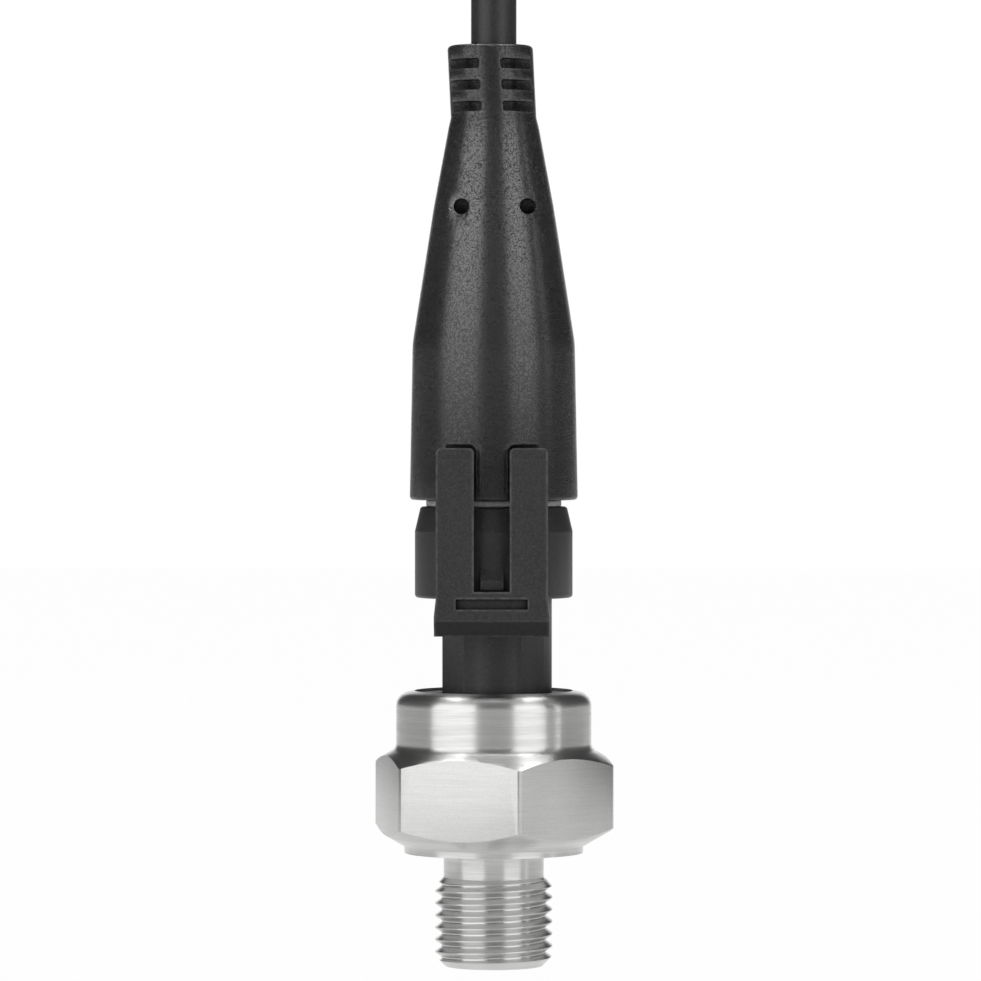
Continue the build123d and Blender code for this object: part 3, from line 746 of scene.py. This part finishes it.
def studio_world():
    """White to the camera, glass and metal where the backdrop stands, and a dim room elsewhere."""
    world = bpy.data.worlds.new("studio")
    bpy.context.scene.world = world
    world.use_nodes = True
    tree = world.node_tree
    tree.nodes.clear()
    direction = put(tree, "ShaderNodeTexCoord").outputs["Generated"]
    depth = split(tree, direction).outputs["Y"]
    room = settings().room_level
    front = spread(tree, depth, *ROOM_DIMS, room, ROOM_DIM_SHARE * room)
    wall = spread(tree, depth, *BACKDROP)
    path, seen = seen_by_eye(tree)
    mirrored = blend(tree, path.outputs["Is Glossy Ray"], settings().fill_level,
                     maths(tree, "MAXIMUM", front, wall))
    level = blend(tree, seen, mirrored, 1.0)
    background = put(tree, "ShaderNodeBackground", {"Color": (1, 1, 1, 1), "Strength": level})
    out = tree.nodes.new("ShaderNodeOutputWorld")
    tree.links.new(background.outputs["Background"], out.inputs["Surface"])


def softbox(name, turn, height, width, tall, distance, level):
    """An area lamp that stands at this angle from the camera's axis and faces the object."""
    data = bpy.data.lights.new(name, "AREA")
    data.shape = "RECTANGLE"
    data.size = width
    data.size_y = tall
    data.energy = level * math.pi * width * tall
    lamp = bpy.data.objects.new(name, data)
    bpy.context.scene.collection.objects.link(lamp)
    angle = math.radians(turn)
    lamp.location = (distance * math.sin(angle), -distance * math.cos(angle), height)
    aim = Vector(LAMPS_AIM) - lamp.location
    lamp.rotation_euler = aim.to_track_quat("-Z", "Y").to_euler()


def floor_paint():
    """Grey paint for the light, so that the part casts a soft shadow, and nearly plain white for the eye."""
    material, tree, shader = new_material("floor_paint", Roughness=0.9, Specular_IOR_Level=0.2)
    mottle = spread(tree, noise_of(tree, place_of(tree), 30.0, 3.0), 0.2, 0.8)
    tone = blend_colour(tree, mottle, (0.3, 0.3, 0.3, 1), (0.33, 0.33, 0.33, 1))
    tree.links.new(tone, shader.inputs["Base Color"])
    glow = put(tree, "ShaderNodeEmission", {"Color": (1, 1, 1, 1), "Strength": 1.0})
    path, seen = seen_by_eye(tree)
    mirrored = maths(tree, "MULTIPLY", path.outputs["Is Glossy Ray"], FLOOR_MIRRORED)
    share = maths(tree, "MULTIPLY", maths(tree, "MAXIMUM", seen, mirrored), settings().floor_white)
    mixed = put(tree, "ShaderNodeMixShader",
                {0: share, 1: shader.outputs["BSDF"], 2: glow.outputs["Emission"]})
    out = [each for each in tree.nodes if each.bl_idname == "ShaderNodeOutputMaterial"][0]
    tree.links.new(mixed.outputs["Shader"], out.inputs["Surface"])
    return material


class TRANSMITTER_OT_stage(bpy.types.Operator):
    """Sets up the camera, the white room, the lamps and the floor"""
    bl_idname = "transmitter.stage"
    bl_label = "Stage"

    def execute(self, context):
        scene = context.scene
        scene.view_settings.view_transform = "Standard"
        turn = math.radians(EYE_TURN)
        data = bpy.data.cameras.new("camera")
        data.lens = LENS
        data.sensor_width = SENSOR_WIDTH
        data.shift_x = AXIS_SHIFT
        data.clip_start = 0.01
        data.clip_end = 20.0
        camera = bpy.data.objects.new("camera", data)
        scene.collection.objects.link(camera)
        camera.location = (EYE_DISTANCE * MM * math.sin(turn), -EYE_DISTANCE * MM * math.cos(turn),
                           EYE_HEIGHT * MM)
        aim = Vector((0, 0, LOOK_HEIGHT * MM)) - camera.location
        camera.rotation_euler = aim.to_track_quat("-Z", "Y").to_euler()
        scene.camera = camera
        studio_world()
        for *lamp, share in SIDE_LAMPS:
            softbox(*lamp, share * settings().lamp_level)
        softbox(*TOP_LAMP, settings().top_level)
        bpy.ops.object.select_all(action="DESELECT")
        bpy.ops.mesh.primitive_plane_add(size=FLOOR_SIZE, location=(0, 0, CAD_BOX[0].z - FLOOR_DROP))
        floor = adopt("floor")
        settle(floor)
        whole(floor)
        bpy.ops.mesh.subdivide(number_cuts=3)
        done()
        floor.data.materials.append(floor_paint())
        return {"FINISHED"}


# Cable and what it ends in

def in_sight_plane(y, z):
    """A point, in metres, of the plane behind the object that the camera looks along."""
    turn = math.radians(EYE_TURN)
    return (-MM * y * math.sin(turn), MM * y * math.cos(turn), MM * z)


def fold_points(fold, low):
    """Control points round a half turn of the hank, which the smooth line touches between them. A low fold
    runs from the rear to the front, and a high one back."""
    middle_y, middle_z, radius = fold
    step = math.pi / FOLD_POINTS
    reach = radius / math.cos(step / 2)
    points = []
    for index in range(FOLD_POINTS):
        angle = (index + 0.5) * step
        side = 1 if low else -1
        points.append((middle_y + side * reach * math.cos(angle), middle_z - side * reach * math.sin(angle)))
    return points


def hank_points():
    """The put-away turns, wound from the outside in, down the rear and up the front."""
    lift = math.tan(math.pi / FOLD_POINTS / 2)
    points = []
    for turn, low_fold in enumerate(LOW_FOLDS):
        middle_y, low_z, radius = low_fold
        if turn > 0:
            points.append((middle_y + radius, low_z + HANK_HALF))
        points.append((middle_y + radius, low_z + lift * radius))
        points += fold_points(low_fold, True)
        points.append((middle_y - radius, low_z + lift * radius))
        if turn < len(HIGH_FOLDS):
            high_y, high_z, high_radius = HIGH_FOLDS[turn]
            points.append((middle_y - radius, low_z + HANK_HALF))
            points.append((middle_y - radius, high_z - lift * high_radius))
            points += fold_points(HIGH_FOLDS[turn], False)
            points.append((high_y + high_radius, high_z - lift * high_radius))
    points.append(JACKET_END)
    return points


class TRANSMITTER_OT_cable(bpy.types.Operator):
    """Runs the cable out of the strain relief and folds its spare length into a hank behind the body"""
    bl_idname = "transmitter.cable"
    bl_label = "Cable"

    def execute(self, context):
        data = bpy.data.curves.new("signal_cable", "CURVE")
        data.dimensions = "3D"
        data.bevel_depth = settings().cable_diameter / 2
        data.bevel_resolution = 8
        data.resolution_u = 16
        data.use_fill_caps = True
        spline = data.splines.new("NURBS")
        points = [in_sight_plane(y, z) for y, z in ROUTE + hank_points()]
        spline.points.add(len(points) - 1)
        for point, place in zip(spline.points, points):
            point.co = (*place, 1.0)
        spline.order_u = 3
        spline.use_endpoint_u = True
        cable = bpy.data.objects.new("signal_cable", data)
        context.scene.collection.objects.link(cable)
        dress(cable, cable_jacket(), "plug", "cable_jacket", "cable", "cable_hank")
        return {"FINISHED"}


def tie_block(middle, face, out, size, edge):
    """A small moulded block of a tie, set off sideways from the middle of the tie's band."""
    turn = math.radians(EYE_TURN)
    place = middle + Vector((math.cos(turn), math.sin(turn), 0)) * (face + out * MM)
    bpy.ops.mesh.primitive_cube_add(size=1, location=place, rotation=(0, 0, turn))
    block = adopt("tie_block")
    block.scale = Vector(size) * MM
    settle(block)
    ease(block, edge * MM, 30.0, lambda first, second: True)
    return block


class TRANSMITTER_OT_hank_ties(bpy.types.Operator):
    """Finishes the two ties round the hank, each with its ratchet head and its trimmed tail"""
    bl_idname = "transmitter.hank_ties"
    bl_label = "Hank ties"

    def execute(self, context):
        nylon = plain_mould("tie_nylon_white", (0.62, 0.60, 0.55), 0.4)
        for side in ("front", "rear"):
            node = "hank_tie_" + side
            tie = copy_of(node, "tie_band_" + side)
            round_edges(tie, TIE_EDGE * MM)
            low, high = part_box(node)
            middle = (Vector(low) + Vector(high)) / 2
            face = settings().cable_diameter / 2 + TIE_FACE * MM
            for measures in (TIE_HEAD, TIE_TAIL):
                block = tie_block(middle, face, *measures)
                finish_with(tie, "BOOLEAN", operation="UNION", object=block, solver="EXACT")
                bpy.data.objects.remove(block)
            smooth(tie)
            dress(tie, nylon, "plug", "tie_nylon", node)
        return {"FINISHED"}


class TRANSMITTER_OT_leads(bpy.types.Operator):
    """Colours the three flying leads, their tinned ends and the cores in the boot"""
    bl_idname = "transmitter.leads"
    bl_label = "Flying leads"

    def execute(self, context):
        for colour, shade in LEAD_COLOURS.items():
            vinyl = plain_mould("lead_vinyl_" + colour, shade, 0.4)
            dress_node("lead_" + colour, vinyl)
            dress_node("core_" + colour, vinyl)
        strands = plain_mould("tinned_strands", (0.62, 0.62, 0.6), 0.35, metallic=1.0, scale=9000.0)
        dress_node("lead_tips", strands)
        return {"FINISHED"}


# The sensor

def thread_cutter(pitch, depth):
    """The helical groove that a lathe takes out of the stem, as a closed solid."""
    crest = THREAD_CREST * MM
    root = crest - depth
    bpy.ops.object.select_all(action="DESELECT")
    bpy.ops.mesh.primitive_circle_add(vertices=5, radius=0.0005, fill_type="NGON", location=(0, 0, 0))
    cutter = adopt("thread_cutter")
    settle(cutter)
    half = GROOVE_HALF * pitch
    flat = GROOVE_FLAT * pitch
    over = CUTTER_OVER * MM
    wide = half + over * (half - flat) / depth
    profile = [(root, -flat), (crest + over, -wide), (crest + over, wide), (root, flat),
               (root - CUTTER_HEEL * MM, 0.0)]
    low = THREAD_GROOVE_Z * MM - THREAD_TURNS * pitch
    for vertex, (radius, height) in zip(cutter.data.vertices, profile):
        vertex.co = (radius, 0.0, low + height)
    finish_with(cutter, "SCREW", axis="Z", angle=math.tau, screw_offset=pitch, iterations=THREAD_TURNS,
                steps=CUTTER_STEPS, render_steps=CUTTER_STEPS, use_merge_vertices=True,
                use_normal_calculate=True)
    whole(cutter)
    bpy.ops.mesh.remove_doubles(threshold=1e-6)
    bpy.ops.mesh.select_all(action="DESELECT")
    bpy.ops.mesh.select_non_manifold()
    bpy.ops.mesh.fill_holes(sides=0)
    bpy.ops.mesh.select_all(action="SELECT")
    bpy.ops.mesh.normals_make_consistent(inside=False)
    done()
    return cutter


class TRANSMITTER_OT_steel_body(bpy.types.Operator):
    """Breaks the hexagon's edges and cuts the process thread into the steel body"""
    bl_idname = "transmitter.steel_body"
    bl_label = "Steel body"

    def execute(self, context):
        body = copy_of("steel_body", "threaded_body", NEARLY_FLAT)
        edge = settings().steel_edge
        ease(body, edge, 40.0, on_corner)
        ease(body, 0.4 * edge, 24.0, on_collar_or_flange)
        ease(body, 0.35 * edge, 20.0, on_hexagon_curve)
        cutter = thread_cutter(settings().thread_pitch, settings().thread_depth)
        finish_with(body, "BOOLEAN", operation="DIFFERENCE", object=cutter, solver="EXACT")
        bpy.data.objects.remove(cutter)
        same_box(body, "steel_body")
        smooth(body, 20.0)
        dress(body, stainless_steel(), "sensor", "stainless_steel", "steel_body")
        return {"FINISHED"}


class TRANSMITTER_OT_connector_base(bpy.types.Operator):
    """Finishes the black connector base with its neck, shroud and latch nib"""
    bl_idname = "transmitter.connector_base"
    bl_label = "Connector base"

    def execute(self, context):
        base = copy_of("connector_base", "moulded_base")
        round_edges(base, settings().plastic_edge)
        smooth(base)
        dress(base, socket_plastic(), "sensor", "socket_plastic", "connector_base")
        return {"FINISHED"}


# The plug

class TRANSMITTER_OT_nose_seal(bpy.types.Operator):
    """Finishes the grey seal between the shroud and the boot"""
    bl_idname = "transmitter.nose_seal"
    bl_label = "Nose seal"

    def execute(self, context):
        seal = copy_of("nose_seal", "grey_seal")
        smooth(seal)
        dress(seal, seal_silicone(), "plug", "grey_silicone", "nose_seal")
        return {"FINISHED"}


class TRANSMITTER_OT_cable_boot(bpy.types.Operator):
    """Finishes the overmoulded boot with its grain and its slotted strain relief"""
    bl_idname = "transmitter.cable_boot"
    bl_label = "Cable boot"

    def execute(self, context):
        boot = copy_of("cable_boot", "moulded_boot", NEARLY_FLAT)
        for side in (-1, 1):
            nudge(boot, (HOLE_ASIDE * MM, 0, -HOLE_DROP * MM), lambda point: point.y < HOLE_FRONT * MM
                  and math.hypot(point.x - side * HOLE_X * MM, point.z - HOLE_Z * MM) < HOLE_REACH * MM)
        nudge(boot, (0, 0, -SLOTS_DROP * MM), lambda point: point.z > SLOTS_FROM * MM)
        ease(boot, SLOT_EDGE * MM, 40.0, on_slot_end, segments=3)
        nudge(boot, (-LEAN * MM, 0, 0), lambda point: point.z > LEAN_FROM * MM, fade=LEAN_REACH * MM)
        round_edges(boot, settings().boot_edge)
        smooth(boot)
        dress(boot, boot_vinyl(), "plug", "boot_vinyl", "cable_boot")
        return {"FINISHED"}


class TRANSMITTER_OT_lock_lever(bpy.types.Operator):
    """Finishes the lock lever with its two legs and cross bar"""
    bl_idname = "transmitter.lock_lever"
    bl_label = "Lock lever"

    def execute(self, context):
        lever = copy_of("lock_lever", "moulded_lever")
        round_edges(lever, 0.6 * settings().plastic_edge)
        smooth(lever, 16.0)
        dress(lever, lever_plastic(), "lever", "lever_plastic", "lock_lever")
        return {"FINISHED"}


class TRANSMITTER_OT_inner_parts(bpy.types.Operator):
    """Gives the pieces inside the body and the plug their finishes"""
    bl_idname = "transmitter.inner_parts"
    bl_label = "Inner parts"

    def execute(self, context):
        rubber = plain_mould("seal_rubber_black", (0.012, 0.012, 0.013), 0.55)
        ceramic = plain_mould("white_ceramic_cell", (0.72, 0.71, 0.68), 0.45)
        inner = plain_mould("inner_plastic_grey", (0.03, 0.03, 0.032), 0.45)
        board = plain_mould("green_board_mask", (0.012, 0.09, 0.035), 0.35)
        chip = plain_mould("chip_resin", (0.014, 0.014, 0.015), 0.5)
        brass = plain_mould("tinned_brass", (0.60, 0.58, 0.52), 0.3, metallic=1.0, scale=7000.0)
        finishes = {
            "cell_seal": rubber, "base_o_ring": rubber, "pressure_cell": ceramic, "spacer_ring": inner,
            "plug_insert": inner, "circuit_board": board, "signal_chip": chip, "board_capacitors": ceramic,
            "cell_pins": brass,
        }
        for number in (1, 2, 3):
            finishes[f"contact_pin_{number}"] = brass
            finishes[f"socket_contact_{number}"] = brass
        for node, material in finishes.items():
            dress_node(node, material)
        return {"FINISHED"}


class TransmitterSettings(bpy.types.PropertyGroup):
    thread_pitch: FloatProperty(
        name="Thread pitch", description="Distance between two threads of the process connection",
        default=0.001337, min=0.0005, max=0.003, unit="LENGTH", precision=5)
    thread_depth: FloatProperty(
        name="Thread depth", description="Depth of the thread from crest to root",
        default=0.00069, min=0.0002, max=0.002, unit="LENGTH", precision=5)
    steel_edge: FloatProperty(
        name="Steel edge", description="Width of the broken edges of the steel body",
        default=0.00019, min=0.00002, max=0.001, unit="LENGTH", precision=5)
    plastic_edge: FloatProperty(
        name="Plastic edge", description="Edge radius of the base and the lever",
        default=0.00014, min=0.00002, max=0.001, unit="LENGTH", precision=5)
    boot_edge: FloatProperty(
        name="Boot edge", description="Edge radius of the boot's windows, holes and notches",
        default=0.00012, min=0.00002, max=0.001, unit="LENGTH", precision=5)
    cable_diameter: FloatProperty(
        name="Cable diameter", description="Outer diameter of the cable's jacket",
        default=0.005, min=0.003, max=0.008, unit="LENGTH", precision=4)
    steel_colour: FloatVectorProperty(
        name="Steel", description="Colour of the turned stainless steel",
        default=(0.70, 0.70, 0.69), min=0.0, max=1.0, size=3, subtype="COLOR")
    socket_colour: FloatVectorProperty(
        name="Base plastic", description="Colour of the connector base",
        default=(0.017, 0.017, 0.018), min=0.0, max=1.0, size=3, subtype="COLOR")
    lever_colour: FloatVectorProperty(
        name="Lever plastic", description="Colour of the lock lever",
        default=(0.021, 0.021, 0.0225), min=0.0, max=1.0, size=3, subtype="COLOR")
    boot_colour: FloatVectorProperty(
        name="Boot", description="Colour of the overmoulded boot",
        default=(0.0048, 0.0048, 0.0052), min=0.0, max=1.0, size=3, subtype="COLOR")
    jacket_colour: FloatVectorProperty(
        name="Cable jacket", description="Colour of the cable's jacket",
        default=(0.020, 0.020, 0.022), min=0.0, max=1.0, size=3, subtype="COLOR")
    seal_colour: FloatVectorProperty(
        name="Seal", description="Colour of the seal between shroud and boot",
        default=(0.50, 0.50, 0.49), min=0.0, max=1.0, size=3, subtype="COLOR")
    lamp_level: FloatProperty(
        name="Lamps", description="Brightness of the softboxes at the sides",
        default=1.55, min=0.0, max=10.0)
    top_level: FloatProperty(
        name="Top lamp", description="Brightness of the softbox overhead",
        default=4.5, min=0.0, max=10.0)
    room_level: FloatProperty(
        name="Room", description="Brightness that metal mirrors away from the backdrop",
        default=0.14, min=0.0, max=1.0, subtype="FACTOR")
    fill_level: FloatProperty(
        name="Fill", description="Brightness of the soft light from all round",
        default=0.22, min=0.0, max=1.0, subtype="FACTOR")
    floor_white: FloatProperty(
        name="Floor white", description="Share of plain white in the floor, the rest shows the shadow",
        default=0.985, min=0.0, max=1.0, subtype="FACTOR")


OPERATORS = [
    TRANSMITTER_OT_stage, TRANSMITTER_OT_cable, TRANSMITTER_OT_hank_ties, TRANSMITTER_OT_leads,
    TRANSMITTER_OT_steel_body, TRANSMITTER_OT_connector_base, TRANSMITTER_OT_nose_seal,
    TRANSMITTER_OT_cable_boot, TRANSMITTER_OT_lock_lever, TRANSMITTER_OT_inner_parts,
]


class TRANSMITTER_PT_sidebar(bpy.types.Panel):
    bl_idname = "TRANSMITTER_PT_sidebar"
    bl_label = "Pressure transmitter"
    bl_space_type = "VIEW_3D"
    bl_region_type = "UI"
    bl_category = "Transmitter"

    def draw(self, context):
        layout = self.layout
        for key in TransmitterSettings.__annotations__:
            layout.prop(context.scene.transmitter, key)
        for operator in OPERATORS:
            layout.operator(operator.bl_idname)


CLASSES = [TransmitterSettings, *OPERATORS, TRANSMITTER_PT_sidebar]


def register():
    for each in CLASSES:
        bpy.utils.register_class(each)
    bpy.types.Scene.transmitter = PointerProperty(type=TransmitterSettings)


def unregister():
    del bpy.types.Scene.transmitter
    for each in reversed(CLASSES):
        bpy.utils.unregister_class(each)


def main():
    register()
    for operator in OPERATORS:
        family, action = operator.bl_idname.split(".")
        getattr(getattr(bpy.ops, family), action)()
    bpy.context.view_layer.update()


if __name__ == "__main__":
    main()
